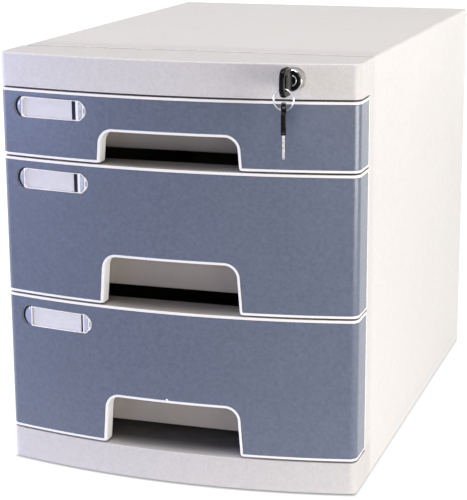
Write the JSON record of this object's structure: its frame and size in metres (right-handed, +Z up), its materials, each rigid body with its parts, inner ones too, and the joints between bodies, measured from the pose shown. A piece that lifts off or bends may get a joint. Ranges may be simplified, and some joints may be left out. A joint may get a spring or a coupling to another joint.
{
  "type": "desk drawer cabinet",
  "caption": "Free-standing desk cabinet with lockable stacked drawers behind a bowed front, for sorting papers and desk supplies.",
  "frame": {"origin": "centre of the footprint's bounding box, on the surface that the feet stand on", "axes": "+X to the right seen from the front, +Y from the front to the back, +Z up"},
  "size_m": [0.28, 0.4626, 0.324],
  "materials": {
    "body_white": "fine satin, moulded off-white",
    "drawer_white": "fine satin, moulded off-white",
    "tray_grey": "matt warm grey",
    "inner_grey": "matt warm grey",
    "face_blue": "satin blue-grey with a soft sheen",
    "clear_plastic": "clear, polished",
    "card_paper": "matt paper card",
    "lock_chrome": "polished",
    "lock_black": "black, semi-gloss",
    "key_black": "black, fine grained",
    "key_steel": "nickel-plated, bright",
    "steel": "zinc-plated sheet",
    "screw_zinc": "zinc-plated",
    "rubber": "matt black"
  },
  "bodies": {
    "cabinet": {"front_frame": "body_white", "shell": "body_white", "back_panel": "inner_grey", "screw_back_1": "screw_zinc", "screw_back_2": "screw_zinc", "screw_back_3": "screw_zinc", "screw_back_4": "screw_zinc", "base_panel": "inner_grey", "foot_1": "rubber", "foot_2": "rubber", "foot_3": "rubber", "foot_4": "rubber", "runner_1_left": "inner_grey", "runner_1_right": "inner_grey", "runner_2_left": "inner_grey", "runner_2_right": "inner_grey", "runner_3_left": "inner_grey", "runner_3_right": "inner_grey", "lock_housing": "lock_chrome", "lock_nut": "screw_zinc", "bar_guide": "inner_grey"},
    "drawer_1": {"tray_1": "tray_grey", "tray_floor_1": "tray_grey", "catch_rail_1": "tray_grey", "drawer_front_1": "drawer_white", "face_1": "face_blue", "label_card_1": "card_paper", "label_holder_1": "clear_plastic", "screw_front_1_left": "screw_zinc", "screw_front_1_right": "screw_zinc"},
    "drawer_2": {"tray_2": "tray_grey", "tray_floor_2": "tray_grey", "catch_rail_2": "tray_grey", "drawer_front_2": "drawer_white", "face_2": "face_blue", "label_card_2": "card_paper", "label_holder_2": "clear_plastic", "screw_front_2_left": "screw_zinc", "screw_front_2_right": "screw_zinc"},
    "drawer_3": {"tray_3": "tray_grey", "tray_floor_3": "tray_grey", "catch_rail_3": "tray_grey", "drawer_front_3": "drawer_white", "face_3": "face_blue", "label_card_3": "card_paper", "label_holder_3": "clear_plastic", "screw_front_3_left": "screw_zinc", "screw_front_3_right": "screw_zinc"},
    "plug": {"lock_plug": "lock_black", "lock_cam": "steel", "cam_screw": "screw_zinc"},
    "lock_bar": {"lock_bar": "steel", "lock_tab_1": "steel", "lock_tab_2": "steel", "lock_tab_3": "steel"},
    "key": {"key_bow": "key_black", "key_blade": "key_steel"},
    "ring": {"key_ring": "lock_chrome"},
    "spare_key": {"spare_key_bow": "key_black", "spare_key_blade": "key_steel"}
  },
  "joints": [
    {"name": "drawer_1_slide", "type": "slide", "parent": "cabinet", "child": "drawer_1", "axis": [0, -1, 0], "range_m": [0, 0.27]},
    {"name": "drawer_2_slide", "type": "slide", "parent": "cabinet", "child": "drawer_2", "axis": [0, -1, 0], "range_m": [0, 0.27]},
    {"name": "drawer_3_slide", "type": "slide", "parent": "cabinet", "child": "drawer_3", "axis": [0, -1, 0], "range_m": [0, 0.27]},
    {"name": "key_turn", "type": "hinge", "parent": "cabinet", "child": "plug", "pos_m": [0.0943, -0.19319, 0.3132], "axis": [0, 1, 0], "range_deg": [0, 90]},
    {"name": "bar_lift", "type": "slide", "parent": "cabinet", "child": "lock_bar", "axis": [0, 0, 1], "range_m": [0, 0.00848]},
    {"name": "key_pull", "type": "slide", "parent": "plug", "child": "key", "axis": [0, -1, 0], "range_m": [0, 0.272]},
    {"name": "ring_hang", "type": "hinge", "parent": "key", "child": "ring", "pos_m": [0.0924, -0.22109, 0.3085], "axis": [0, 1, 0], "range_deg": [-52, 0]},
    {"name": "spare_hang", "type": "hinge", "parent": "ring", "child": "spare_key", "pos_m": [0.0943, -0.22109, 0.30239], "axis": [0, 1, 0], "range_deg": [-40, 0]}
  ],
  "couplings": [
    {"joint": "key_turn", "follows": "bar_lift", "rad_per_m": 185.12},
    {"joint": "ring_hang", "follows": "bar_lift", "rad_per_m": -104.91},
    {"joint": "spare_hang", "follows": "bar_lift", "rad_per_m": -80.21},
    {"joint": "key_pull", "follows": "drawer_1_slide", "ratio": 1}
  ]
}
